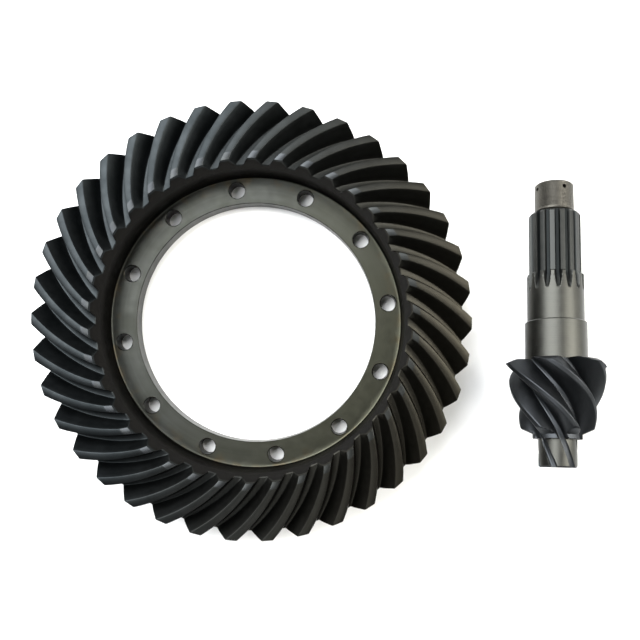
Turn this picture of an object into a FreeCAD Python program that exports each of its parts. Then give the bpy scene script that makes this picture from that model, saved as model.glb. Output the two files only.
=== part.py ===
"""Ring and pinion gear set of a truck drive axle: a hypoid crown wheel and its pinion shaft.

Millimetres, +Z up. The origin is the middle of the ring gear's bore at its back face, which lies
on the floor with the teeth up. The pinion shaft lies on its side to the right of the ring: it
rests on the crests of its teeth and on the entry edge of its splines, so its stem points down
by a few degrees. Each of the two is one forged and machined piece of steel.
"""
import FreeCAD, Part
import os
from math import asin, ceil, cos, degrees, radians, sin, tan

Vector = FreeCAD.Vector
AXIS = Vector(0, 0, 1)
ORIGIN = Vector(0, 0, 0)

# Ring gear: blank
flange_outer_radius = 160.0
flange_width = 28.5
bore_radius = flange_outer_radius - flange_width
bore_chamfer = 1.5
flange_thickness = 22.0
flange_fillet = 2.0
recess_draft = 0.8
recess_rim_radius = flange_outer_radius + recess_draft
recess_rim_height = 59.5
back_face_radius = 198.0
rim_edge_radius = 211.0
rim_edge_height = 21.0
heel_tip_radius = 231.0
heel_tip_height = 68.0
toe_tip_radius = 168.0
toe_relief_radius = 178.5
toe_relief_drop = 3.3
tip_slope = 9.9

# Ring gear: bolt holes
bolt_count = 12
bolt_edge_distance = 13.0
bolt_circle_radius = flange_outer_radius - bolt_edge_distance
bolt_hole_radius = 8.75
bolt_hole_chamfer = 0.8
first_bolt_angle = 8.4

# Ring gear: teeth, cut by a ring of blades that swings through the rim on a large circle
ring_teeth = 38
mean_radius = 197.0
spiral_angle = 40.0
cutter_radius = 185.0
heel_depth = 20.4
root_slope = 15.7
root_flat = 4.0
steep_flank_angle = 17.5
wide_flank_angle = 29.0
blade_height = 22.4
cutter_swing = 40.0
first_slot_angle = 0.9

# Pinion shaft: distances along its axis from the threaded end
thread_radius = 21.0
thread_chamfer = 1.8
thread_length = 30.8
thread_relief_width = 3.3
thread_relief_depth = 1.8
spline_radius = 27.5
spline_chamfer = 2.2
spline_end = 101.6
outer_journal_radius = 30.0
outer_journal_end = 153.8
inner_journal_radius = 32.5
journal_chamfer = 1.2
heel_face = 196.0
heel_rim_radius = 46.8
heel_crest = 199.7
heel_crest_radius = 55.0
toe_crest = 267.8
toe_crest_radius = 37.7
collar_start = 273.3
collar_radius = 25.6
collar_end = 278.3
pilot_radius = 20.0
pilot_end = 307.8
pilot_chamfer = 1.5

# Pinion shaft: split-pin holes near the threaded end
pin_hole_radius = 2.2
pin_hole_distance = 7.3
pin_hole_angles = (-12.8, -102.8)

# Pinion shaft: splines, with grooves that a round cutter ends in a run-out
spline_count = 16
groove_depth = 2.7
groove_root_width = 3.0
groove_flank_angle = 27.0
run_out_radius = 37.0
first_groove_angle = 15.8

# Pinion shaft: teeth
pinion_teeth = 6
root_radius_at_heel = 33.2
root_radius_at_collar = 19.0
root_radius_at_end = 17.2
root_half_width = 2.9
crest_half_angle = 4.4
flank_bulge = 1.6
turn_per_mm = 1.654
turn_fading = 0.00244
slot_overshoot = 9.0
slot_stations = 13
slot_clearance = 1.5

# Where the pinion shaft lies
stem_end_x = 328.0
stem_end_y = 151.0
lay_angle = 1.45
roll_angle = 29.8
floor_allowance = 0.1


def face_from_outline(points):
    """A flat face from the corners of a closed outline."""
    return Part.Face(Part.makePolygon(list(points) + [points[0]]))


def turned(outline):
    """A solid of revolution about the Z axis from (radius, height) corners."""
    corners = [Vector(radius, 0, height) for radius, height in outline]
    return face_from_outline(corners).revolve(ORIGIN, AXIS, 360)


def around(shape, count, first=0.0):
    """Copies of a shape at equal angles about the Z axis."""
    copies = []
    for index in range(count):
        copy = shape.copy()
        copy.rotate(ORIGIN, AXIS, first + index * 360.0 / count)
        copies.append(copy)
    return copies


def tip_height(radius):
    """Height of the ring gear's tip cone, which falls towards the heel."""
    return heel_tip_height + (heel_tip_radius - radius) * tan(radians(tip_slope))


def root_height(radius):
    """Height of the ring gear's root cone."""
    root_at_heel = heel_tip_height - heel_depth
    return root_at_heel + (heel_tip_radius - radius) * tan(radians(root_slope))


def ring_blank():
    """The ring gear before its teeth and holes are cut."""
    toe_top = tip_height(toe_relief_radius) - toe_relief_drop
    outline = [
        (bore_radius + bore_chamfer, 0),
        (back_face_radius, 0),
        (rim_edge_radius, rim_edge_height),
        (heel_tip_radius, heel_tip_height),
        (toe_relief_radius, tip_height(toe_relief_radius)),
        (toe_tip_radius, toe_top),
        (recess_rim_radius, recess_rim_height),
        (flange_outer_radius, flange_thickness + flange_fillet),
        (flange_outer_radius - flange_fillet, flange_thickness),
        (bore_radius + bore_chamfer, flange_thickness),
        (bore_radius, flange_thickness - bore_chamfer),
        (bore_radius, bore_chamfer),
    ]
    return turned(outline)


def blade_outline():
    """Section of the cutting ring: flat tip, one steep and one wide side."""
    half = root_flat / 2
    steep = half + blade_height * tan(radians(steep_flank_angle))
    wide = half + blade_height * tan(radians(wide_flank_angle))
    corners = [
        Vector(cutter_radius - half, 0, 0),
        Vector(cutter_radius + half, 0, 0),
        Vector(cutter_radius + wide, 0, blade_height),
        Vector(cutter_radius - steep, 0, blade_height),
    ]
    return face_from_outline(corners)


def ring_slot():
    """What one swing of the cutting ring takes out: a slot curved along a circle."""
    tool = blade_outline()
    tool.rotate(ORIGIN, AXIS, -cutter_swing / 2)
    tool = tool.revolve(ORIGIN, AXIS, cutter_swing)
    slope = radians(root_slope)
    spiral = radians(spiral_angle)
    outward = Vector(cos(slope), 0, -sin(slope))
    around_ring = Vector(0, 1, 0)
    normal = outward.cross(around_ring)
    to_slot = outward * sin(spiral) + around_ring * cos(spiral)
    middle = Vector(mean_radius, 0, root_height(mean_radius))
    cutter_centre = middle - to_slot * cutter_radius
    third = normal.cross(to_slot)
    frame = FreeCAD.Matrix(
        to_slot.x, third.x, normal.x, cutter_centre.x,
        to_slot.y, third.y, normal.y, cutter_centre.y,
        to_slot.z, third.z, normal.z, cutter_centre.z,
        0, 0, 0, 1,
    )
    tool.transformShape(frame)
    return tool


def bolt_hole():
    """One bolt hole through the flange, chamfered on the side of the teeth."""
    wide = bolt_hole_radius + bolt_hole_chamfer
    outline = [
        (0, 0),
        (bolt_hole_radius, 0),
        (bolt_hole_radius, flange_thickness - bolt_hole_chamfer),
        (wide, flange_thickness),
        (0, flange_thickness),
    ]
    hole = turned(outline)
    hole.translate(Vector(bolt_circle_radius, 0, 0))
    return hole


def ring_gear():
    """The crown wheel: turned blank, curved slots between the teeth, flange with bolt holes."""
    slots = around(ring_slot(), ring_teeth, first_slot_angle)
    holes = around(bolt_hole(), bolt_count, first_bolt_angle)
    return ring_blank().cut(slots + holes)


def shaft_blank():
    """The pinion shaft before its teeth and splines are cut, turned about the Z axis."""
    relief_end = thread_length + thread_relief_width
    relief_radius = thread_radius - thread_relief_depth
    outline = [
        (0, 0),
        (thread_radius - thread_chamfer, 0),
        (thread_radius, thread_chamfer),
        (thread_radius, thread_length),
        (relief_radius, thread_length + thread_relief_depth),
        (relief_radius, relief_end),
        (spline_radius - spline_chamfer, relief_end),
        (spline_radius, relief_end + spline_chamfer),
        (spline_radius, spline_end),
        (outer_journal_radius - journal_chamfer, spline_end),
        (outer_journal_radius, spline_end + journal_chamfer),
        (outer_journal_radius, outer_journal_end),
        (inner_journal_radius - journal_chamfer, outer_journal_end),
        (inner_journal_radius, outer_journal_end + journal_chamfer),
        (inner_journal_radius, heel_face),
        (heel_rim_radius, heel_face),
        (heel_crest_radius, heel_crest),
        (toe_crest_radius, toe_crest),
        (collar_radius, collar_start),
        (collar_radius, collar_end),
        (pilot_radius, collar_end),
        (pilot_radius, pilot_end - pilot_chamfer),
        (pilot_radius - pilot_chamfer, pilot_end),
        (0, pilot_end),
    ]
    return turned(outline)


def crest_radius(distance):
    """Radius of the pinion's crest cone at a distance along the axis."""
    fall = (heel_crest_radius - toe_crest_radius) / (toe_crest - heel_crest)
    return heel_crest_radius - fall * (distance - heel_crest)


def root_radius(distance):
    """Radius of the bottom of the pinion's slots, which run on over the pilot."""
    if distance < collar_end:
        fall = (root_radius_at_heel - root_radius_at_collar) / (collar_end - heel_face)
        return root_radius_at_heel - fall * (distance - heel_face)
    fall = (root_radius_at_collar - root_radius_at_end) / (pilot_end - collar_end)
    return root_radius_at_collar - fall * (distance - collar_end)


def tooth_turn(distance):
    """Angle in degrees by which the pinion's teeth have wound on from the heel."""
    along = distance - heel_face
    return turn_per_mm * along - turn_fading * along * along


def slot_section(distance):
    """Closed outline of one slot across the axis: flat root, two bulging flanks."""
    bottom = root_radius(distance)
    crest = crest_radius(distance)
    narrow = degrees(asin(root_half_width / bottom))
    wide = 180.0 / pinion_teeth - crest_half_angle

    def point(radius, angle):
        turn = radians(angle - tooth_turn(distance))
        return Vector(radius * cos(turn), radius * sin(turn), distance)

    def flank_angle(radius):
        share = (radius - bottom) / (crest - bottom)
        return narrow + (wide - narrow) * share ** flank_bulge

    def flank(side):
        radii = (bottom, (bottom + top) / 2, top)
        return Part.Arc(*[point(radius, side * flank_angle(radius)) for radius in radii]).toShape()

    top = crest + slot_clearance
    reach = flank_angle(top)
    root = Part.makeLine(point(bottom, -narrow), point(bottom, narrow))
    lid = Part.Arc(point(top, reach), point(top, 0), point(top, -reach)).toShape()
    return Part.Wire([root, flank(1), lid, flank(-1)])


def pinion_slot():
    """One slot between the pinion's teeth, wound along the cone and run out over the pilot."""
    start = heel_face - slot_overshoot
    step = (pilot_end + slot_overshoot - start) / (slot_stations - 1)
    sections = [slot_section(start + index * step) for index in range(slot_stations)]
    return Part.makeLoft(sections, True, False)


def spline_groove():
    """One spline groove: a straight run, then the arc by which the cutter leaves the shaft."""
    bottom = spline_radius - groove_depth
    height = outer_journal_radius - bottom + 2.0
    half = groove_root_width / 2
    wide = half + height * tan(radians(groove_flank_angle))
    start = thread_length + thread_relief_depth
    corners = [
        Vector(bottom, -half, start),
        Vector(bottom, half, start),
        Vector(bottom + height, wide, start),
        Vector(bottom + height, -wide, start),
    ]
    section = face_from_outline(corners)
    straight = section.extrude(Vector(0, 0, spline_end - start))
    section.translate(Vector(0, 0, spline_end - start))
    pivot = Vector(bottom + run_out_radius, 0, spline_end)
    run_out = section.revolve(pivot, Vector(0, 1, 0), 60)
    return straight.fuse(run_out)


def pin_hole(angle):
    """One hole drilled across the threaded end."""
    length = 2 * thread_radius + 2
    start = Vector(-length / 2, 0, pin_hole_distance)
    hole = Part.makeCylinder(pin_hole_radius, length, start, Vector(1, 0, 0))
    hole.rotate(ORIGIN, AXIS, -angle)
    return hole


def shaft_in_own_frame():
    """The pinion shaft along the Z axis, its threaded end at the origin."""
    slots = around(pinion_slot(), pinion_teeth, -180.0 / pinion_teeth)
    grooves = around(spline_groove(), spline_count, first_groove_angle)
    holes = [pin_hole(angle) for angle in pin_hole_angles]
    return shaft_blank().cut(slots + grooves + holes)


def crest_reach(tilt):
    """Furthest that the teeth reach below the axis, as height at the threaded end."""
    deepest = 0.0
    steps = int(ceil(toe_crest - heel_crest))
    for index in range(steps + 1):
        distance = heel_crest + index * (toe_crest - heel_crest) / steps
        turn = tooth_turn(distance) + roll_angle
        pitch = 360.0 / pinion_teeth
        from_bottom = (turn + 180.0 + pitch / 2) % pitch - pitch / 2
        off = radians(max(0.0, abs(from_bottom) - crest_half_angle))
        reach = crest_radius(distance) * cos(off) * cos(tilt) - distance * sin(tilt)
        deepest = max(deepest, reach)
    return deepest


def resting_tilt():
    """Tilt at which the teeth and the entry edge of the splines both touch the floor."""
    edge = thread_length + thread_relief_width + spline_chamfer
    low = 0.0
    high = radians(30)
    for _ in range(40):
        tilt = (low + high) / 2
        if crest_reach(tilt) > spline_radius * cos(tilt) - edge * sin(tilt):
            low = tilt
        else:
            high = tilt
    return low


def pinion_shaft():
    """The pinion shaft laid on the floor beside the ring gear."""
    shaft = shaft_in_own_frame()
    tilt = resting_tilt()
    lay = radians(lay_angle)
    towards_pilot = Vector(-sin(lay) * cos(tilt), -cos(lay) * cos(tilt), sin(tilt))
    top = AXIS - towards_pilot * AXIS.dot(towards_pilot)
    top.normalize()
    third = towards_pilot.cross(top)
    stem_end_z = crest_reach(tilt) + floor_allowance
    frame = FreeCAD.Matrix(
        top.x, third.x, towards_pilot.x, stem_end_x,
        top.y, third.y, towards_pilot.y, stem_end_y,
        top.z, third.z, towards_pilot.z, stem_end_z,
        0, 0, 0, 1,
    )
    shaft.rotate(ORIGIN, AXIS, -roll_angle)
    shaft.transformShape(frame)
    return shaft


def main():
    """Write one file for each of the two pieces."""
    os.makedirs("parts", exist_ok=True)
    pieces = {"ring_gear": ring_gear(), "pinion_shaft": pinion_shaft()}
    for name, shape in pieces.items():
        shape.exportStep(os.path.join("parts", name + ".step"))
        box = shape.BoundBox
        print(name, "valid", shape.isValid(), "solids", len(shape.Solids), "faces", len(shape.Faces))
        print("  volume", round(shape.Volume), "lowest", round(box.ZMin, 2), "highest", round(box.ZMax, 2))
    print("tilt of the pinion shaft", round(degrees(resting_tilt()), 2))


main()
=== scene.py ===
# %% [markdown]
# # Ring and pinion gear set of a truck axle
# Two forged and machined steel gears lie on a pale floor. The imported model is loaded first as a
# fixed frame: it gives the true size and place of both gears. Each gear is then built again with
# the fine shapes that light shows, such as rounded roots, broken edges and a cut thread.

# %% Load the frame
import math

import bmesh
import bpy
import numpy as np
from mathutils import Matrix, Vector


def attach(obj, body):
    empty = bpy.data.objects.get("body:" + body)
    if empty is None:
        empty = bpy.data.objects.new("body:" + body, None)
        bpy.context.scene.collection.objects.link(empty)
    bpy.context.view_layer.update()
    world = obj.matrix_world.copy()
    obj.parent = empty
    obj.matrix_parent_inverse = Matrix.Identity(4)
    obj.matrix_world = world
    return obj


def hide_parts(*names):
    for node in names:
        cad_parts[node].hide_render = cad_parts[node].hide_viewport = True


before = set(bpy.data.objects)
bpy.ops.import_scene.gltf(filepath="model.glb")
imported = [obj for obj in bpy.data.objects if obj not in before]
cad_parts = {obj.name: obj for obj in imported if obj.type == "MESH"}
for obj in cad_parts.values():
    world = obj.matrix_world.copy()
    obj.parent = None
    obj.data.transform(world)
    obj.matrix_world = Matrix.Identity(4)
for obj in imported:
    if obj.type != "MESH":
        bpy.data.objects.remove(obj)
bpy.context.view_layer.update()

MM = 0.001
print("frame nodes", sorted(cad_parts))

# %% [markdown]
# ## From numbers to a mesh
# Both gears are bodies of revolution with something cut into them, so each of their surfaces is a
# grid: rows run along the outline, columns run round the axis. One function turns such a grid of
# points, in millimetres, into a mesh in metres.


# %% Grid to mesh
def grid_mesh(name, grid):
    """A mesh from points[row, column], in millimetres, with a quad between each four."""
    rows, columns = grid.shape[:2]
    corner = np.arange(rows * columns).reshape(rows, columns)
    quads = np.stack([corner[:-1, :-1], corner[:-1, 1:], corner[1:, 1:], corner[1:, :-1]], axis=-1)
    mesh = bpy.data.meshes.new(name)
    mesh.from_pydata((grid.reshape(-1, 3) * MM).tolist(), [], quads.reshape(-1, 4).tolist())
    return mesh


def polar(radius, angle, height):
    """Points from radius, angle in degrees and height, as one array."""
    turn = np.radians(angle)
    return np.stack(np.broadcast_arrays(radius * np.cos(turn), radius * np.sin(turn), height), axis=-1)


def scene_object(name, mesh):
    """A new object in the scene."""
    made = bpy.data.objects.new(name, mesh)
    bpy.context.scene.collection.objects.link(made)
    return made


# %% [markdown]
# ## Repeating a sector with Geometry Nodes
# A gear is one tooth, again and again. It could be copied in a loop, but a node tree says it once:
# a line of points, one copy of the sector on each point, each turned by its share of the circle.
# The copies are made real and their shared edges merged, so what comes out is one closed skin.


# %% A small helper for node trees
def add_node(tree, kind, links=None, **settings):
    """Adds a node, sets its properties and inputs, and links other sockets into its inputs."""
    node = tree.nodes.new(kind)
    for name, value in settings.items():
        if hasattr(node, name):
            setattr(node, name, value)
        else:
            node.inputs[name.replace("_", " ")].default_value = value
    for name, source in (links or {}).items():
        tree.links.new(source, node.inputs[name])
    return node


def tree_socket(tree, name, kind, side="INPUT"):
    """Adds one named input or output to a node tree."""
    return tree.interface.new_socket(name, in_out=side, socket_type=kind)


# %% The tree that repeats a sector round the axis
def repeat_tree():
    tree = bpy.data.node_groups.new("repeat_round_axis", "GeometryNodeTree")
    tree_socket(tree, "Sector", "NodeSocketGeometry")
    tree_socket(tree, "Copies", "NodeSocketInt")
    tree_socket(tree, "Merge distance", "NodeSocketFloat")
    tree_socket(tree, "Finish", "NodeSocketMaterial")
    tree_socket(tree, "Ring", "NodeSocketGeometry", "OUTPUT")
    start = add_node(tree, "NodeGroupInput").outputs
    line = add_node(tree, "GeometryNodeMeshLine", {"Count": start["Copies"]})
    line.inputs["Offset"].default_value = (0, 0, 0)
    step = add_node(tree, "ShaderNodeMath", {1: start["Copies"]}, operation="DIVIDE")
    step.inputs[0].default_value = 2 * math.pi
    index = add_node(tree, "GeometryNodeInputIndex")
    turn = add_node(tree, "ShaderNodeMath", {0: index.outputs[0], 1: step.outputs[0]}, operation="MULTIPLY")
    about_z = add_node(tree, "ShaderNodeCombineXYZ", {"Z": turn.outputs[0]})
    copies = add_node(tree, "GeometryNodeInstanceOnPoints", {
        "Points": line.outputs[0], "Instance": start["Sector"], "Rotation": about_z.outputs[0]})
    real = add_node(tree, "GeometryNodeRealizeInstances", {"Geometry": copies.outputs[0]})
    merged = add_node(tree, "GeometryNodeMergeByDistance", {
        "Geometry": real.outputs[0], "Distance": start["Merge distance"]})
    finished = add_node(tree, "GeometryNodeSetMaterial", {
        "Geometry": merged.outputs[0], "Material": start["Finish"]})
    add_node(tree, "NodeGroupOutput", {"Ring": finished.outputs[0]})
    return tree


REPEAT = repeat_tree()


def set_inputs(modifier, **values):
    """Sets a node modifier's inputs by their names' identifiers."""
    for item in modifier.node_group.interface.items_tree:
        key = item.name.replace(" ", "_").lower()
        if item.in_out == "INPUT" and key in values:
            modifier[item.identifier] = values[key]


def plain_mesh(source):
    """The evaluated mesh of an object, with its modifiers in it; the object is removed."""
    graph = bpy.context.evaluated_depsgraph_get()
    mesh = bpy.data.meshes.new_from_object(source.evaluated_get(graph))
    mesh.name = source.name
    bpy.data.objects.remove(source)
    return mesh


def repeated(name, sector, copies, finish):
    """The sector repeated round the Z axis as one plain mesh."""
    source = scene_object(name, sector)
    modifier = source.modifiers.new("repeat", "NODES")
    modifier.node_group = REPEAT
    set_inputs(modifier, copies=copies, merge_distance=0.004 * MM, finish=finish)
    return plain_mesh(source)


# %% [markdown]
# ## The ring gear's tooth slot
# Such teeth are cut by a ring of blades that swings through the rim on a large circle, so every
# slot is a part of that circle: its floor is flat, and its two sides lean outwards by the blades'
# angles. The functions below find, for a radius on the ring, at which angle and height a given
# point of the blade passes.

# %% Sizes of the ring gear, in millimetres
bore_radius = 131.5
bore_chamfer = 0.7
flange_thickness = 22.0
flange_edge = 158.0
recess_radius = 160.0
recess_fillet = 2.0
recess_rim = (160.8, 59.5)
back_edge = (198.0, 0.0)
rim_edge = (211.0, 21.0)
heel_tip = (231.0, 68.0)
toe_tip_radius = 168.0
relief_radius = 175.5
relief_drop = 0.3
tip_slope = math.radians(9.9)
ring_teeth = 38
mean_radius = 197.0
spiral = math.radians(40.0)
cutter_radius = 185.0
heel_depth = 20.4
root_slope = math.radians(15.7)
root_half = 2.0
half_gain = 0.035
root_fillet = 1.1
root_undercut = 0.3
steep_side = math.radians(17.5)
wide_side = math.radians(29.0)
broken_edge = 0.6
first_slot_angle = 0.9


# %% The blade's way through the rim
def tip_line(radius):
    """Height of the tooth tops, with the nearly level relief at the toe."""
    cone = heel_tip[1] + (heel_tip[0] - radius) * math.tan(tip_slope)
    corner = heel_tip[1] + (heel_tip[0] - relief_radius) * math.tan(tip_slope)
    relief = corner - relief_drop * (relief_radius - radius) / (relief_radius - toe_tip_radius)
    return np.where(radius < relief_radius, relief, cone)


root_middle = heel_tip[1] - heel_depth + (heel_tip[0] - mean_radius) * math.tan(root_slope)
floor_normal = np.array([math.sin(root_slope), 0, math.cos(root_slope)])
down_slope = np.array([math.cos(root_slope), 0, -math.sin(root_slope)])
to_slot = down_slope * math.sin(spiral) + np.array([0, math.cos(spiral), 0])
cutter_centre = np.array([mean_radius, 0, root_middle]) - to_slot * cutter_radius


def slot_point(radius, rise, offset):
    """Angle and height where a blade point passes that is rise above the floor, offset off middle.

    The second pass of the cutter takes a little more at the toe and less at the heel, so the
    offset grows inwards.
    """
    offset = offset + np.sign(offset) * half_gain * (mean_radius - radius)
    low = np.full(radius.shape, -0.4)
    high = np.full(radius.shape, 0.4)
    for _ in range(40):
        angle = (low + high) / 2
        height = rise + floor_normal @ cutter_centre - radius * np.cos(angle) * floor_normal[0]
        height = height / floor_normal[2]
        place = np.stack([radius * np.cos(angle), radius * np.sin(angle), height], axis=-1)
        arm = place - cutter_centre - rise[..., None] * floor_normal
        beyond = np.linalg.norm(arm, axis=-1) > cutter_radius + offset
        high = np.where(beyond, angle, high)
        low = np.where(beyond, low, angle)
    return np.degrees(angle), height


def flank_top(radius, side, lean):
    """How far above the floor a slot's side meets the tooth's top."""
    low = np.zeros(radius.shape)
    high = np.full(radius.shape, 40.0)
    for _ in range(40):
        rise = (low + high) / 2
        height = slot_point(radius, rise, side * (root_half + rise * math.tan(lean)))[1]
        high = np.where(height > tip_line(radius), rise, high)
        low = np.where(height > tip_line(radius), low, rise)
    return rise


# %% [markdown]
# ## One tooth pitch, column by column
# The sector starts on the middle of one tooth's top, goes down the steep side, round the floor and
# up the wide side to the next top. Columns lie close together where the real surface turns fast:
# three round each floor corner and three round each top edge, which deburring has broken. A table
# over the radius holds each column's angle and height; its ends come from where it crosses the toe
# cone and the heel cone.

# %% Columns of the slot
table_radius = np.linspace(155.0, 236.0, 325)


def side_columns(side, lean):
    """From the middle of the slot's floor up one side: angles and heights over the table."""
    top = flank_top(table_radius, side, lean)
    columns = []
    reach = root_fillet * math.tan((math.pi / 2 - lean) / 2)
    for part in (0.0, 0.5, 1.0):
        swing = part * (math.pi / 2 - lean)
        offset = root_half - reach + root_fillet * math.sin(swing) + root_undercut
        rise = np.full(table_radius.shape, root_fillet * (1 - math.cos(swing)))
        columns.append(slot_point(table_radius, rise, side * offset))
    shares = (0.36, 0.68) if side < 0 else (0.28, 0.52, 0.76)
    for share in shares:
        rise = share * top
        columns.append(slot_point(table_radius, rise, side * (root_half + rise * math.tan(lean))))
    rise = top - broken_edge
    below = slot_point(table_radius, rise, side * (root_half + rise * math.tan(lean)))
    edge = slot_point(table_radius, top, side * (root_half + top * math.tan(lean)))
    inset = np.degrees(broken_edge / table_radius / math.cos(spiral))
    beyond = (edge[0] + side * inset, tip_line(table_radius))
    middle = tuple(0.45 * edge[i] + 0.275 * (below[i] + beyond[i]) for i in (0, 1))
    return columns + [below, middle, beyond]


steep = side_columns(-1, steep_side)
wide = side_columns(1, wide_side)
pitch = 360.0 / ring_teeth
land_middle = (wide[-1][0] + steep[-1][0] + pitch) / 2
land = (land_middle, tip_line(table_radius))
columns = [(land[0] - pitch, land[1])] + steep[::-1] + wide + [land]
column_angle = np.array([column[0] for column in columns]) + first_slot_angle
column_height = np.array([column[1] for column in columns])
tooth_columns = len(columns) - 1
print("columns over one tooth", tooth_columns, "round the ring", tooth_columns * ring_teeth)


# %% [markdown]
# ## The sector's outline
# Below the teeth the sector is plain turned metal. Its columns drift to even spacing there, so
# that they meet the flange's columns point for point. All columns lie on one grid of angles
# round the ring, and a shift by whole columns keeps them from leaning.

# %% Rows of the sector
grid_step = pitch / tooth_columns
grid_start = float(np.interp(mean_radius, table_radius, column_angle[0]))


def even_angles(near):
    """Evenly spaced angles on the ring's grid, shifted by whole columns to start near an angle."""
    shift = round((near - grid_start) / grid_step)
    return grid_start + (shift + np.arange(tooth_columns + 1)) * grid_step


def crossing(slope, through):
    """Radius at which each column crosses a cone, given its slope and a point on it."""
    cone = through[1] + (table_radius - through[0]) * slope
    found = []
    for height in column_height:
        gap = height - cone
        found.append(np.interp(0.0, -gap if gap[0] > gap[-1] else gap, table_radius))
    return np.array(found)


def on_columns(radius):
    """Angle and height of every column, each at its own radius."""
    angle = [np.interp(r, table_radius, a) for r, a in zip(radius, column_angle)]
    height = [np.interp(r, table_radius, h) for r, h in zip(radius, column_height)]
    return np.array(angle), np.array(height)


toe_slope = (float(tip_line(np.array(toe_tip_radius))) - recess_rim[1]) / (toe_tip_radius - recess_rim[0])
heel_slope = (heel_tip[1] - rim_edge[1]) / (heel_tip[0] - rim_edge[0])
toe_radius = crossing(toe_slope, recess_rim)
heel_radius = crossing(heel_slope, heel_tip)
toe_angle, toe_height = on_columns(toe_radius)
heel_angle, heel_height = on_columns(heel_radius)
toe_even = even_angles(toe_angle[0])
heel_even = even_angles(heel_angle[0])
rows = []


def plain_row(radius, height, angle):
    rows.append(polar(np.full(tooth_columns + 1, radius), angle, height))


plain_row(flange_edge, flange_thickness, toe_even)
for part in (0.33, 0.67, 1.0):
    swing = part * math.pi / 2
    plain_row(recess_radius - recess_fillet * (1 - math.sin(swing)),
              flange_thickness + recess_fillet * (1 - math.cos(swing)), toe_even)
plain_row((recess_radius + recess_rim[0]) / 2, (recess_rim[1] + flange_thickness) / 2, toe_even)
for share in (0.0, 0.12, 0.5, 0.88):
    angle = toe_even + (toe_angle - toe_even) * share
    rows.append(polar(recess_rim[0] + (toe_radius - recess_rim[0]) * share, angle,
                      recess_rim[1] + (toe_height - recess_rim[1]) * share))
for share in (0.06, 0.5, 0.96):
    radius = toe_radius + (relief_radius - toe_radius) * share
    rows.append(polar(radius, *on_columns(radius)))
for share in [0.005, *np.linspace(0, 1, 23)[1:-1]]:
    radius = relief_radius + (heel_radius - relief_radius) * share
    rows.append(polar(radius, *on_columns(radius)))
radius = heel_radius - broken_edge
rows.append(polar(radius, *on_columns(radius)))
for share in (0.03, 0.3, 0.65, 1.0):
    angle = heel_angle + (heel_even - heel_angle) * share
    rows.append(polar(heel_radius + (rim_edge[0] - heel_radius) * share, angle,
                      heel_height + (rim_edge[1] - heel_height) * share))
plain_row(back_edge[0] + 0.4, 1.0, heel_even)
plain_row(back_edge[0] - 0.8, 0.0, heel_even)
plain_row((back_edge[0] + flange_edge) / 2, 0.0, heel_even)
plain_row(flange_edge, 0.0, heel_even)
tooth_sector = grid_mesh("tooth_sector", np.array(rows)[:, ::-1])
print("one tooth pitch has", len(tooth_sector.polygons), "faces")


# %% [markdown]
# ## The flange with its bolt holes
# The inner flange carries twelve bolt holes. One twelfth of it is enough: points spread from the
# hole's rim to the border of the sector, on both faces, with the drilled wall and the small chamfer
# at the top between them. The bore's wall closes the inside.

# %% One twelfth of the flange
bolt_count = 12
bolt_circle = 147.0
bolt_radius = 8.75
bolt_chamfer = 0.8
first_bolt_angle = 8.4
flange_columns = tooth_columns * ring_teeth // bolt_count


def sector_border(near):
    """Angles and radii of the border's points, once round, on the ring's grid of angles."""
    first = grid_start + round((near - 180.0 / bolt_count - grid_start) / grid_step) * grid_step
    arc = first + np.arange(flange_columns + 1) * grid_step
    inner = bore_radius + bore_chamfer
    side = np.linspace(inner, flange_edge, 10)
    angle = np.concatenate([arc[:-1], np.full(9, arc[-1]), arc[:0:-1], np.full(9, arc[0])])
    radius = np.concatenate([np.full(flange_columns, inner), side[:-1],
                             np.full(flange_columns, flange_edge), side[:0:-1]])
    return angle, radius


def bolt_sector():
    angle, radius = sector_border(first_bolt_angle)
    border = polar(radius, angle, 0.0)
    middle = polar(np.array(bolt_circle), np.array(first_bolt_angle), 0.0)
    ray = border - middle
    ray = ray / np.linalg.norm(ray, axis=-1, keepdims=True)
    rings = []
    up = np.array([0, 0, 1.0])
    wide = middle + ray * (bolt_radius + bolt_chamfer)
    top = flange_thickness
    narrow = middle + ray * bolt_radius
    for share in (1.0, 0.62, 0.34, 0.14, 0.0):
        rings.append(wide + (border - wide) * share + up * top)
    rings.append(narrow + up * (top - bolt_chamfer))
    for share in (0.0, 0.14, 0.34, 0.62, 1.0):
        rings.append(narrow + (border - narrow) * share)
    grid = np.array(rings)
    return grid_mesh("bolt_sector", np.concatenate([grid, grid[:, :1]], axis=1))


def bore_sector():
    """The bore's wall under the first columns, with its two chamfers."""
    angle = grid_start + np.arange(flange_columns + 1) * grid_step
    wall = []
    for radius, height in (
        (bore_radius + bore_chamfer, 0.0),
        (bore_radius, bore_chamfer),
        (bore_radius, flange_thickness / 2),
        (bore_radius, flange_thickness - bore_chamfer),
        (bore_radius + bore_chamfer, flange_thickness),
    ):
        wall.append(polar(np.full(angle.shape, radius), angle, height))
    return grid_mesh("bore_sector", np.array(wall)[:, ::-1])


print("flange columns in one twelfth", flange_columns)

# %% [markdown]
# ## Putting a gear together
# The repeated parts are poured into one mesh, their borders are merged and the outside is made to
# face outwards. Edges that turn by more than a third of a right angle stay crisp, the others shade
# smoothly.


# %% Join, close and shade
crisp_turn = math.radians(32)


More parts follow.
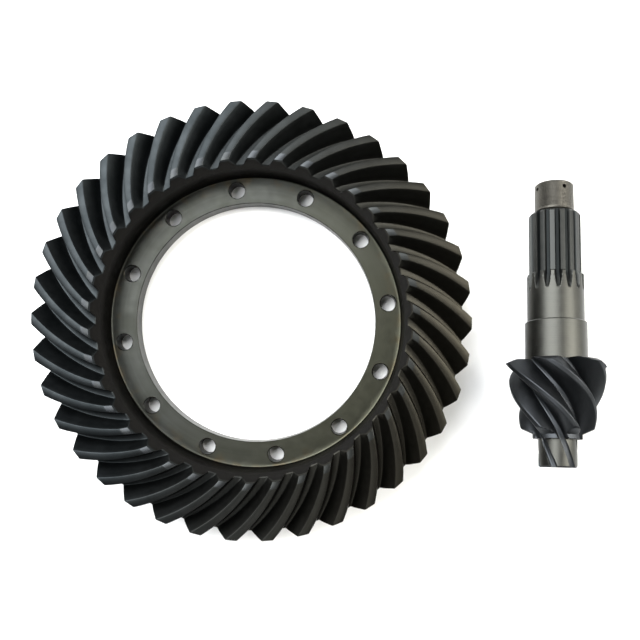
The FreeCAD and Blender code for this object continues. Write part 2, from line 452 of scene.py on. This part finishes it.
def joined(name, parts):
    """One closed mesh from several, smooth apart from its crisp edges."""
    work = bmesh.new()
    for part in parts:
        work.from_mesh(part)
    bmesh.ops.remove_doubles(work, verts=work.verts, dist=0.02 * MM)
    bmesh.ops.dissolve_degenerate(work, dist=0.005 * MM, edges=work.edges)
    bmesh.ops.recalc_face_normals(work, faces=work.faces)
    open_edges = sum(1 for edge in work.edges if not edge.is_manifold)
    mesh = bpy.data.meshes.new(name)
    work.to_mesh(mesh)
    work.free()
    mesh.shade_smooth()
    mesh.set_sharp_from_angle(angle=crisp_turn)
    print(name, "faces", len(mesh.polygons), "open edges", open_edges)
    return mesh


# %% [markdown]
# ## The pinion shaft's sections
# The shaft is turned, so its outline is a list of radius and place along the axis. Splines and
# teeth take metal away from it: at each place the surface is the smaller of the turned radius and
# the radius of the cut. The shaft is built standing on its threaded end and laid down at the end.

# %% Sizes of the pinion shaft, in millimetres
shaft_columns = 288
thread_radius = 21.0
thread_chamfer = 1.8
thread_length = 30.8
thread_pitch = 1.5
thread_depth = 0.4
relief = (19.2, 34.1)
spline_radius = 27.5
spline_chamfer = 2.2
spline_end = 101.6
spline_count = 16
groove_depth = 2.7
groove_half = 1.5
groove_lean = math.tan(math.radians(27.0))
run_out_radius = 37.0
first_groove_angle = 15.8
outer_journal = (30.0, 153.8)
inner_journal = (32.5, 196.0)
journal_chamfer = 1.2
heel_rim = (46.8, 196.0)
heel_crest = (55.0, 199.7)
toe_crest = (37.7, 267.8)
collar = (25.6, 273.3, 278.3)
pilot = (20.0, 307.8)
pilot_chamfer = 1.5
pinion_teeth = 6
root_at_heel = 33.2
root_at_collar = 19.0
root_at_end = 17.2
root_half_width = 2.9
pinion_root_fillet = 1.3
crest_half_angle = 4.4
flank_bulge = 1.6
turn_per_mm = 1.654
turn_fading = 0.00244
roll_angle = 29.8
pin_hole_angles = (12.8, 102.8)
pin_hole_radius = 2.2
pin_hole_place = 7.3
run_out_end = 123.0


# %% What the spline cutter leaves
def groove_floor(place):
    """Radius of a spline groove's floor: level, then rising on the cutter's arc."""
    beyond = np.clip(place - spline_end, 0, run_out_radius)
    return spline_radius - groove_depth + run_out_radius - np.sqrt(run_out_radius ** 2 - beyond ** 2)


def groove_radius(angle, place):
    """Radius of the groove's surface at an angle from its middle."""
    floor = groove_floor(place)
    turn = np.radians(np.abs(angle))
    side = (groove_half - floor * groove_lean) / (np.sin(turn) - np.cos(turn) * groove_lean)
    return np.where(floor * np.tan(turn) <= groove_half, floor / np.cos(turn), side)


def softer_of(first, second, blend):
    """The smaller of two radii, with the corner between them rounded."""
    mix = np.clip(0.5 + 0.5 * (second - first) / blend, 0, 1)
    return second + (first - second) * mix - blend * mix * (1 - mix)


def even_from(start, columns):
    """Even angles round the shaft, on the grid of its columns."""
    return start + np.arange(columns + 1) * 360.0 / shaft_columns


# %% One spline with its run-out and its share of the journals
half_angles = np.array([0.0, 1.15, 2.3, 3.45, 4.3, 5.15, 6.0, 7.0, 8.2, 11.25])
groove_angles = np.concatenate([-half_angles[:0:-1], half_angles])
shaft_grid_start = first_groove_angle - 11.25
groove_even = even_from(shaft_grid_start, shaft_columns // spline_count)
outline = [(relief[0], relief[1], 0), (22.0, relief[1], 0.5), (spline_radius - spline_chamfer, relief[1], 1)]
outline += [(spline_radius, relief[1] + spline_chamfer, 1)]
spline_places = np.linspace(relief[1] + spline_chamfer + 0.8, spline_end, 9)
outline += [(spline_radius, place, 1) for place in spline_places]
outline += [(outer_journal[0] - journal_chamfer, spline_end, 1)]
outline += [(outer_journal[0], place, 1) for place in np.linspace(spline_end + journal_chamfer, 122.0, 22)]
outline += [(outer_journal[0], 128.0, 0.6), (outer_journal[0], 136.0, 0), (outer_journal[0], 145.0, 0)]
outline += [(outer_journal[0], outer_journal[1], 0)]
outline += [(inner_journal[0] - journal_chamfer, outer_journal[1], 0)]
outline += [(inner_journal[0], outer_journal[1] + journal_chamfer, 0)]
outline += [(inner_journal[0], place, 0) for place in (165.0, 175.0, 185.0, 196.0)]
spline_rows = []
for radius, place, keep in outline:
    own = first_groove_angle + groove_angles
    angle = groove_even + (own - groove_even) * keep
    surface = softer_of(np.full(angle.shape, radius), groove_radius(angle - first_groove_angle, place), 0.25)
    surface = np.where(groove_radius(angle - first_groove_angle, place) > radius + 0.25, radius, surface)
    spline_rows.append(polar(surface, angle, place))
spline_sector = grid_mesh("spline_sector", np.array(spline_rows))
print("one spline has", len(spline_sector.polygons), "faces")


# %% [markdown]
# ## The pinion's teeth
# A slot between two teeth winds along the cone, and its turn per millimetre fades towards the
# small end. The columns wind with it, so that root, flanks and crests stay smooth and sharp where
# they should. Past the teeth the slots run out over the collar and the pilot.

# %% One slot of the pinion
def crest_radius(place):
    fall = (heel_crest[0] - toe_crest[0]) / (toe_crest[1] - heel_crest[1])
    return heel_crest[0] - fall * (place - heel_crest[1])


def root_radius(place):
    if place < collar[2]:
        fall = (root_at_heel - root_at_collar) * (place - heel_rim[1])
        return root_at_heel - fall / (collar[2] - heel_rim[1])
    return root_at_collar - (root_at_collar - root_at_end) * (place - collar[2]) / (pilot[1] - collar[2])


def tooth_turn(place):
    along = place - heel_rim[1]
    return turn_per_mm * along - turn_fading * along * along


def half_slot(place):
    """Radii and angles from the middle of a slot's root to the middle of the next crest."""
    bottom = root_radius(place)
    crest = crest_radius(place)
    narrow = math.degrees(math.asin(root_half_width / bottom))
    wide = 180.0 / pinion_teeth - crest_half_angle
    depth = crest - bottom

    def flank(radius):
        return narrow + (wide - narrow) * max(0.0, (radius - bottom) / depth) ** flank_bulge

    fillet = math.degrees(pinion_root_fillet / bottom)
    points = [(bottom, (narrow - fillet) * share) for share in (0.0, 0.34, 0.67, 1.0)]
    points += [(bottom + 0.3 * pinion_root_fillet, narrow - 0.3 * fillet)]
    points += [(bottom + pinion_root_fillet, flank(bottom + pinion_root_fillet))]
    start = pinion_root_fillet / depth + 0.07
    for share in np.linspace(start, 0.93, 12):
        points.append((bottom + share * depth, flank(bottom + share * depth)))
    inset = math.degrees(broken_edge / crest)
    points += [(crest - broken_edge, flank(crest - broken_edge))]
    points += [(crest - 0.25 * broken_edge, wide + 0.1 * inset), (crest, wide + inset)]
    half_land = 180.0 / pinion_teeth - wide - inset
    points += [(crest, wide + inset + half_land * share) for share in (0.33, 0.67, 1.0)]
    return points


head_outline = [(inner_journal[0], inner_journal[1], 0)]
head_outline += [(radius, heel_rim[1], 1) for radius in (33.6, 35.0, 37.0, 39.5, 42.0, 44.5)]
head_outline += [(heel_rim[0] - 0.5, heel_rim[1], 1), (heel_rim[0] + 0.3, heel_rim[1] + 0.15, 1)]
head_outline += [(49.5, 197.2, 1), (52.2, 198.45, 1), (heel_crest[0] - 0.7, heel_crest[1] - 0.3, 1)]
head_outline += [(crest_radius(heel_crest[1] + 0.6), heel_crest[1] + 0.6, 1)]
head_outline += [(crest_radius(place), place, 1) for place in np.linspace(201.5, toe_crest[1] - 0.6, 46)]
head_outline += [(toe_crest[0] - 0.9, toe_crest[1] + 0.5, 1), (33.5, 269.7, 1), (29.5, 271.5, 1)]
head_outline += [(collar[0] + 0.5, collar[1] - 0.25, 1), (collar[0], collar[1] + 0.4, 1)]
head_outline += [(collar[0], 275.8, 1)]
head_outline += [(collar[0], collar[2] - 0.4, 1), (collar[0] - 0.4, collar[2], 1), (22.8, collar[2], 1)]
head_outline += [(pilot[0], place, 1) for place in np.linspace(collar[2], pilot[1] - pilot_chamfer, 15)]
head_outline += [(pilot[0] - pilot_chamfer, pilot[1], 1)]
head_outline += [(radius, pilot[1], 0) for radius in (12.0, 6.0, 0.0)]
head_rows = []
for radius, place, keep in head_outline:
    half = half_slot(place)
    surface = np.array([p[0] for p in half[:0:-1]] + [p[0] for p in half])
    own = np.array([-p[1] for p in half[:0:-1]] + [p[1] for p in half])
    own = own + 180.0 / pinion_teeth - tooth_turn(place)
    shift = round((own[0] - shaft_grid_start) / (360.0 / shaft_columns))
    even = even_from(shaft_grid_start + shift * 360.0 / shaft_columns, len(own) - 1)
    angle = even + (own - even) * keep
    surface = np.minimum(surface, radius) if keep else np.full(angle.shape, radius)
    head_rows.append(polar(surface, angle, place))
head_sector = grid_mesh("head_sector", np.array(head_rows))
print("one pinion slot has", len(head_sector.polygons), "faces and", len(own) - 1, "columns")

# %% [markdown]
# ## The thread
# A thread is a notch wound round the shaft. A second node tree pushes the points of a plain
# cylinder inwards by a zigzag that climbs one pitch per turn, and lets it fade at both ends. The
# notch is kept shallow, because deep ridges this fine turn into a false pattern in the picture.


# %% Node tree that cuts a thread
def thread_tree():
    tree = bpy.data.node_groups.new("cut_thread", "GeometryNodeTree")
    tree_socket(tree, "Shaft", "NodeSocketGeometry")
    for name in ("Pitch", "Depth", "Start", "End"):
        tree_socket(tree, name, "NodeSocketFloat")
    tree_socket(tree, "Finish", "NodeSocketMaterial")
    tree_socket(tree, "Shaft", "NodeSocketGeometry", "OUTPUT")
    start = add_node(tree, "NodeGroupInput").outputs

    def math_node(operation, first, second=0.0, third=0.0):
        node = tree.nodes.new("ShaderNodeMath")
        node.operation = operation
        for socket, value in zip(node.inputs, (first, second, third)):
            if isinstance(value, float):
                socket.default_value = value
            else:
                tree.links.new(value, socket)
        return node.outputs[0]

    position = add_node(tree, "GeometryNodeInputPosition")
    parts = add_node(tree, "ShaderNodeSeparateXYZ", {0: position.outputs[0]}).outputs
    turn = math_node("DIVIDE", math_node("ARCTAN2", parts["Y"], parts["X"]), 2 * math.pi)
    climb = math_node("SUBTRACT", math_node("DIVIDE", parts["Z"], start["Pitch"]), turn)
    zigzag = math_node("MULTIPLY", math_node("PINGPONG", climb, 0.5), 2.0)
    rise = math_node("DIVIDE", math_node("SUBTRACT", parts["Z"], start["Start"]), start["Pitch"])
    fall = math_node("DIVIDE", math_node("SUBTRACT", start["End"], parts["Z"]), start["Pitch"])
    fade = math_node("MINIMUM", math_node("MAXIMUM", math_node("MINIMUM", rise, fall), 0.0), 1.0)
    cut = math_node("MULTIPLY", math_node("MULTIPLY", zigzag, fade), start["Depth"])
    outward = add_node(tree, "ShaderNodeCombineXYZ", {"X": parts["X"], "Y": parts["Y"]})
    unit = add_node(tree, "ShaderNodeVectorMath", {0: outward.outputs[0]}, operation="NORMALIZE")
    inward = add_node(tree, "ShaderNodeVectorMath", {0: unit.outputs[0]}, operation="SCALE")
    tree.links.new(math_node("MULTIPLY", cut, -1.0), inward.inputs["Scale"])
    moved = add_node(tree, "GeometryNodeSetPosition", {
        "Geometry": start["Shaft"], "Offset": inward.outputs[0]})
    real = add_node(tree, "GeometryNodeRealizeInstances", {"Geometry": moved.outputs[0]})
    done = add_node(tree, "GeometryNodeSetMaterial", {
        "Geometry": real.outputs[0], "Material": start["Finish"]})
    add_node(tree, "NodeGroupOutput", {"Shaft": done.outputs[0]})
    return tree


# %% The threaded end
def threaded_end(finish):
    points = [(0.0, 0.0), (7.0, 0.0), (14.0, 0.0), (thread_radius - thread_chamfer, 0.0)]
    points += [(thread_radius, place) for place in np.arange(thread_chamfer, thread_length, thread_pitch / 4)]
    points += [(thread_radius, thread_length), (relief[0], thread_length + thread_radius - relief[0]), relief]
    angle = even_from(shaft_grid_start, shaft_columns)
    grid = np.array([polar(np.full(angle.shape, radius), angle, place) for radius, place in points])
    source = scene_object("threaded_end", grid_mesh("threaded_end", grid))
    modifier = source.modifiers.new("thread", "NODES")
    modifier.node_group = thread_tree()
    set_inputs(modifier, pitch=thread_pitch * MM, depth=thread_depth * MM, start=thread_chamfer * MM * 0.6,
               end=(thread_length - 0.4) * MM, finish=finish)
    return plain_mesh(source)


# %% [markdown]
# ## Finishes
# Gear steel is grey, but how it was worked on decides what the eye sees. All finishes here start
# as bare metal. Clouds in the colour stand for oil, handling and uneven tone; fine lines in the relief
# stand for the tool marks. Some colours also hold painted light and shade: a shift of tint towards
# the right side, the darker recess and the darker spline grooves. The lines must follow the tool, so
# they need to know where on the work they are: the ring's marks run round its axis, the shaft's round
# its own tilted axis.

# %% Where the pinion shaft lies
stem_end = Vector((328.0, 151.0, 21.92)) * MM
tilt = math.radians(8.52)
lay = math.radians(1.45)
shaft_axis = Vector((-math.sin(lay) * math.cos(tilt), -math.cos(lay) * math.cos(tilt), math.sin(tilt)))
shaft_up = (Vector((0, 0, 1)) - shaft_axis * shaft_axis.z).normalized()
shaft_across = shaft_axis.cross(shaft_up)


# %% Small helpers for materials
def linear(code):
    """An sRGB hex colour as linear red, green, blue and alpha."""
    parts = [int(code[i:i + 2], 16) / 255 for i in (1, 3, 5)]
    return tuple(p / 12.92 if p < 0.04045 else ((p + 0.055) / 1.055) ** 2.4 for p in parts) + (1.0,)


def shader_math(tree, operation, first, second=0.0):
    """A math node whose two inputs are sockets or numbers."""
    node = add_node(tree, "ShaderNodeMath", operation=operation)
    for socket, value in zip(node.inputs, (first, second)):
        if isinstance(value, float):
            socket.default_value = value
        else:
            tree.links.new(value, socket)
    return node.outputs[0]


def along_vector(tree, place, direction):
    """How far a place lies along a direction."""
    node = add_node(tree, "ShaderNodeVectorMath", {0: place}, operation="DOT_PRODUCT")
    node.inputs[1].default_value = direction
    return node.outputs["Value"]


def round_ring(tree):
    """Place on the ring gear, and its distances from and along the axis."""
    place = add_node(tree, "ShaderNodeTexCoord").outputs["Object"]
    x, y, z = (along_vector(tree, place, d) for d in ((1, 0, 0), (0, 1, 0), (0, 0, 1)))
    radius = shader_math(tree, "SQRT", shader_math(
        tree, "ADD", shader_math(tree, "MULTIPLY", x, x), shader_math(tree, "MULTIPLY", y, y)))
    return place, radius, z


def round_shaft(tree):
    """Place on the pinion shaft, and its distances from and along its axis."""
    place = add_node(tree, "ShaderNodeTexCoord").outputs["Object"]
    shifted = add_node(tree, "ShaderNodeVectorMath", {0: place}, operation="SUBTRACT")
    shifted.inputs[1].default_value = stem_end
    own = shifted.outputs[0]
    x, y, z = (along_vector(tree, own, d) for d in (shaft_up, shaft_across, shaft_axis))
    radius = shader_math(tree, "SQRT", shader_math(
        tree, "ADD", shader_math(tree, "MULTIPLY", x, x), shader_math(tree, "MULTIPLY", y, y)))
    return place, radius, z


def clouds(tree, place, size, detail=3.0):
    """Soft patches of a size in millimetres."""
    noise = add_node(tree, "ShaderNodeTexNoise", {"Vector": place}, Scale=1000 / size, Detail=detail)
    return noise.outputs[0]


def lines(tree, distance, size):
    """Tool marks: bands of a width in millimetres over a distance."""
    return add_node(tree, "ShaderNodeTexNoise", {"W": distance}, noise_dimensions="1D", Scale=1000 / size,
                    Detail=2.0).outputs[0]


def spread(tree, value, low, high, least=0.0, most=1.0):
    """Maps a value from low..high to least..most."""
    node = add_node(tree, "ShaderNodeMapRange", {"Value": value})
    for name, number in (("From Min", low), ("From Max", high), ("To Min", least), ("To Max", most)):
        node.inputs[name].default_value = number
    return node.outputs[0]


def mixed(tree, factor, first, second):
    """A colour between two; each is a hex colour or a socket."""
    node = add_node(tree, "ShaderNodeMix", {0: factor}, data_type="RGBA")
    for index, colour in ((6, first), (7, second)):
        if isinstance(colour, str):
            node.inputs[index].default_value = linear(colour)
        else:
            tree.links.new(colour, node.inputs[index])
    return node.outputs[2]


def bare_metal(name, edge_shine=1.0):
    """A new metal with its node tree and surface node; a coat dulls its shine at flat angles."""
    material = bpy.data.materials.new(name)
    material.use_nodes = True
    surface = material.node_tree.nodes["Principled BSDF"]
    surface.inputs["Metallic"].default_value = 1.0
    surface.inputs["Specular Tint"].default_value = (edge_shine, edge_shine, edge_shine, 1.0)
    return material, material.node_tree, surface


def dress(tree, surface, colour, roughness, height, depth):
    """Links colour, roughness and a relief of a depth in millimetres to the surface."""
    relief_node = add_node(tree, "ShaderNodeBump", {"Height": height}, Distance=depth * MM)
    tree.links.new(colour, surface.inputs["Base Color"])
    tree.links.new(roughness, surface.inputs["Roughness"])
    tree.links.new(relief_node.outputs[0], surface.inputs["Normal"])


# %% [markdown]
# ### Phosphated gear steel
# After hardening and lapping the teeth get a phosphate coat: fine grey-black crystals that hold
# oil. It is satin and the grain is very fine. Its grey shifts towards a tint on the right side,
# which is painted light from that side.

# %% Phosphated gear steel
def phosphated_steel(name, locate, dark, light, right_light_tint):
    material, tree, surface = bare_metal(name, 0.6)
    place = locate(tree)[0]
    grey = mixed(tree, spread(tree, clouds(tree, place, 22), 0.35, 0.65), dark, light)
    # Painted light: towards the right side the grey is mixed with the tint of the light from there.
    painted_right_light = spread(tree, along_vector(tree, place, (1, -0.3, 0)), -0.1, 0.22)
    tinted = mixed(tree, painted_right_light, grey, right_light_tint)
    grain = clouds(tree, place, 0.9, 4.0)
    rough = spread(tree, clouds(tree, place, 5), 0.3, 0.7, 0.42, 0.48)
    dress(tree, surface, tinted, rough, grain, 0.003)
    return material


phosphated = phosphated_steel("phosphated_gear_steel", round_ring, "#232627", "#2b2e2f", "#2f2d27")
phosphated_pinion = phosphated_steel("phosphated_pinion_steel", round_shaft, "#34383a", "#434648", "#393b3d")


# %% [markdown]
# ### Recess in painted shade
# The wall inside the teeth is given a darker brown-black steel than the teeth: painted shade for the
# recess, so the bright flange stands out against it.

# %% Recess steel, darkened as painted shade
def recess_shade_steel(name):
    material, tree, surface = bare_metal(name, 0.65)
    place, _, height = round_ring(tree)
    recess_mottle = clouds(tree, place, 12, 4.0)
    # Painted shade: both greys are darker than the teeth's coat, to darken the recess.
    colour = mixed(tree, spread(tree, recess_mottle, 0.35, 0.65), "#141312", "#1c1b19")
    dress(tree, surface, colour, spread(tree, recess_mottle, 0.3, 0.7, 0.45, 0.6), lines(tree, height, 0.9), 0.01)
    return material


recess_shade = recess_shade_steel("scaled_recess_steel")


# %% [markdown]
# ### Turned flange
# The flange face and the bore were turned on a lathe after the teeth were made. They are bare,
# with marks all round, and the oil on them has left a light brown stain here and there. The small
# facets at the toe ends of the teeth were ground last, so they are bare too. Towards the right side
# their grey shifts to a second grey, which is painted light from that side.

# %% Turned flange steel
def turned_steel(name, cool_greys, painted_right_light_grey, stain_colour):
    material, tree, surface = bare_metal(name)
    place, radius, _ = round_ring(tree)
    turning = lines(tree, radius, 0.45)
    bands = lines(tree, radius, 4.0)
    handled = shader_math(tree, "ADD", shader_math(tree, "MULTIPLY", bands, 0.25),
                          shader_math(tree, "MULTIPLY", clouds(tree, place, 30), 0.75))
    cool = mixed(tree, spread(tree, handled, 0.35, 0.65), *cool_greys)
    # Painted light: across the piece the grey shifts to the right-side grey.
    grey = mixed(tree, spread(tree, along_vector(tree, place, (1, -0.5, 0)), -0.05, 0.2), cool, painted_right_light_grey)
    outer = spread(tree, radius, 0.146, 0.159)
    patches = spread(tree, clouds(tree, place, 14, 4.0), 0.5, 0.72, 0.0, 0.7)
    stain = shader_math(tree, "MULTIPLY", outer, patches)
    stained = mixed(tree, stain, grey, stain_colour)
    rough = spread(tree, clouds(tree, place, 9), 0.3, 0.7, 0.36, 0.44)
    dress(tree, surface, stained, rough, turning, 0.008)
    return material


turned = turned_steel("turned_flange_steel", ("#2d2e2a", "#343532"), "#3d3d33", "#3f3626")
ground_facet = turned_steel("ground_facet_steel", ("#2f3133", "#37393a"), "#313230", "#313230")


# %% [markdown]
# ### The shaft's finishes
# The journals and the pilot are ground bright, with hair-fine lines round them. The splines are
# milled; their colour darkens down into the grooves as painted shade. The threaded end was masked
# from the coat and has gone brownish.

# %% Ground, milled and threaded steel
def shaft_steel(name, dark, light, low, high, mark_size, depth, groove_shade_colour=None):
    material, tree, surface = bare_metal(name)
    place, radius, along = round_shaft(tree)
    marks = lines(tree, along, mark_size)
    worn = clouds(tree, place, 8.0, 4.0)
    both = shader_math(tree, "ADD", shader_math(tree, "MULTIPLY", marks, 0.5),
                       shader_math(tree, "MULTIPLY", worn, 0.5))
    grey = mixed(tree, spread(tree, both, 0.35, 0.65), dark, light)
    # Painted shade: the colour darkens from the spline tops down to the groove floors.
    if groove_shade_colour:
        grey = mixed(tree, spread(tree, radius, 0.0250, 0.0272), groove_shade_colour, grey)
    rough = spread(tree, both, 0.3, 0.7, low, high)
    dress(tree, surface, grey, rough, marks, depth)
    return material


ground = shaft_steel("ground_journal_steel", "#383835", "#41413d", 0.36, 0.46, 0.5, 0.006)
milled = shaft_steel("milled_spline_steel", "#2f302f", "#383937", 0.42, 0.54, 0.8, 0.01, "#1b1d1d")
threaded = shaft_steel("threaded_steel", "#494742", "#55534d", 0.4, 0.52, 0.6, 0.005)
FINISHES = (phosphated, phosphated_pinion, recess_shade, turned, ground_facet, ground, milled, threaded)
print("finishes", [finish.name for finish in FINISHES])

# %% The finished ring gear
ring = joined("ring_gear_finished", [
    repeated("rim", tooth_sector, ring_teeth, phosphated),
    repeated("flange", bolt_sector(), bolt_count, turned),
    repeated("bore", bore_sector(), bolt_count, turned),
])


def centres(mesh):
    """Middles of all faces, in millimetres."""
    middle = np.empty(len(mesh.polygons) * 3, np.float32)
    mesh.polygons.foreach_get("center", middle)
    return middle.reshape(-1, 3) / MM


def paint(mesh, finishes, which):
    """Gives each face the finish that its number says."""
    mesh.materials.clear()
    for finish in finishes:
        mesh.materials.append(finish)
    mesh.polygons.foreach_set("material_index", which.astype(np.int32))
    mesh.update()


middle = centres(ring)
from_axis = np.hypot(middle[:, 0], middle[:, 1])
bare = (from_axis < recess_radius) & (middle[:, 2] < flange_thickness + 1.0) | (middle[:, 2] < 0.01)
toe_cone = recess_rim[0] + (middle[:, 2] - recess_rim[1]) / toe_slope
# The faces of the recess get the darker steel, which is painted shade.
recess = (from_axis < np.maximum(toe_cone, recess_rim[0]) + 0.1) & ~bare
facet = (from_axis < relief_radius) & (middle[:, 2] > tip_line(from_axis) - 0.1) & ~recess
paint(ring, [phosphated, turned, recess_shade, ground_facet], bare + 2 * recess + 3 * facet)
ring_gear = scene_object("ring_gear_finished", ring)

# %% The finished pinion shaft, laid on the floor
shaft = joined("pinion_shaft_finished", [
    threaded_end(threaded),
    repeated("splined_stem", spline_sector, spline_count, milled),
    repeated("head", head_sector, pinion_teeth, phosphated_pinion),
])


def drilled(mesh, angles, radius, place):
    """The shaft with holes drilled across it."""
    target = scene_object("pinion_shaft_drilled", mesh)
    for turn in angles:
        work = bmesh.new()
        bmesh.ops.create_cone(work, cap_ends=True, segments=40, radius1=radius * MM, radius2=radius * MM,
                              depth=2.4 * thread_radius * MM)
        drill_mesh = bpy.data.meshes.new("drill")
        work.to_mesh(drill_mesh)
        work.free()
        across = Matrix.Rotation(math.radians(turn), 4, "Z") @ Matrix.Rotation(math.pi / 2, 4, "Y")
        drill_mesh.transform(across)
        drill_mesh.transform(Matrix.Translation((0, 0, place * MM)))
        drill = scene_object("drill", drill_mesh)
        cut = target.modifiers.new("drill", "BOOLEAN")
        cut.operation = "DIFFERENCE"
        cut.solver = "EXACT"
        cut.object = drill
    drills = [m.object for m in target.modifiers]
    made = plain_mesh(target)
    for drill in drills:
        bpy.data.objects.remove(drill)
    return made


shaft = drilled(shaft, pin_hole_angles, pin_hole_radius, pin_hole_place)
shaft.set_sharp_from_angle(angle=crisp_turn)
middle = centres(shaft)
from_axis = np.hypot(middle[:, 0], middle[:, 1])
along = middle[:, 2]
which = np.zeros(len(along))
which[along < relief[1]] = 3
which[(along > relief[1]) & (along < spline_end + 0.1)] = 2
which[(along > spline_end + 0.1) & (along < inner_journal[1] - 0.01)] = 1
which[(along > spline_end) & (along < run_out_end) & (from_axis < outer_journal[0] - 0.35)] = 2
which[(along > collar[2] - 0.1) & (from_axis > pilot[0] - 0.35)] = 1
which[along > pilot[1] - 0.01] = 1
paint(shaft, [phosphated_pinion, ground, milled, threaded], which)

laid = Matrix((shaft_up, shaft_across, shaft_axis)).transposed().to_4x4()
laid.translation = stem_end
shaft.transform(laid @ Matrix.Rotation(-math.radians(roll_angle), 4, "Z"))
pinion_shaft = scene_object("pinion_shaft_finished", shaft)

# %% Hand the pieces to the frame
for piece, node, slot in (
    (ring_gear, "ring_gear", "ring_steel"),
    (pinion_shaft, "pinion_shaft", "pinion_steel"),
):
    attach(piece, "root")
    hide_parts(node)
    print(piece.name, "triangles", sum(len(p.vertices) - 2 for p in piece.data.polygons))

# %% [markdown]
# ## Floor, light and camera
# The gears lie on a pale floor and are seen from straight above. A large soft light above gives
# the tooth tops their grey, and darkness near the horizon lets the flanks go dark. A low light on
# the right draws the bright band along the right side of the shaft's journals.

# %% Floor
floor_mesh = bpy.data.meshes.new("floor")
floor_mesh.from_pydata([(-6, -6, 0), (6, -6, 0), (6, 6, 0), (-6, 6, 0)], [], [(0, 1, 2, 3)])
floor = scene_object("floor", floor_mesh)
paper = bpy.data.materials.new("matt_white_paint")
paper.use_nodes = True
paper.node_tree.nodes["Principled BSDF"].inputs["Base Color"].default_value = linear("#f4f4f2")
paper.node_tree.nodes["Principled BSDF"].inputs["Roughness"].default_value = 0.9
floor_mesh.materials.append(paper)


# %% Lights
def soft_light(name, place, aim, width, height, power, colour):
    data = bpy.data.lights.new(name, "AREA")
    data.shape = "RECTANGLE"
    data.size = width
    data.size_y = height
    data.energy = power
    data.color = linear(colour)[:3]
    lamp = scene_object(name, data)
    lamp.location = place
    lamp.rotation_euler = (Vector(aim) - Vector(place)).to_track_quat("-Z", "Y").to_euler()
    return lamp


soft_light("key_from_upper_left", (-1.05, 1.05, 2.15), (0.0, 0.0, 0.0), 2.4, 2.4, 225, "#fafcff")
soft_light("fill_from_right", (1.7, 0.5, 1.7), (0.2, 0.0, 0.0), 1.0, 1.6, 60, "#fffdf8")
soft_light("low_from_right", (1.6, 0.1, 0.75), (0.3, 0.0, 0.0), 0.5, 1.2, 12, "#fffdf8")
soft_light("fill_from_below", (0.0, -1.7, 2.2), (0.0, 0.0, 0.0), 1.0, 1.0, 12, "#ffffff")
world = bpy.data.worlds.new("dim_room")
world.use_nodes = True
world.node_tree.nodes["Background"].inputs["Color"].default_value = linear("#e6e8e8")
world.node_tree.nodes["Background"].inputs["Strength"].default_value = 0.1
bpy.context.scene.world = world
bpy.context.scene.view_settings.view_transform = "Standard"

# %% Camera
camera_data = bpy.data.cameras.new("camera")
camera_data.lens = 45.0
camera_data.sensor_width = 36.0
picture_pixels = 640
pixels_left, pixels_up = 25, 30
camera_data.shift_x = -pixels_left / picture_pixels
camera_data.shift_y = pixels_up / picture_pixels
camera = scene_object("camera", camera_data)
camera.location = (0.0977, -0.0303, 0.904)
bpy.context.scene.camera = camera
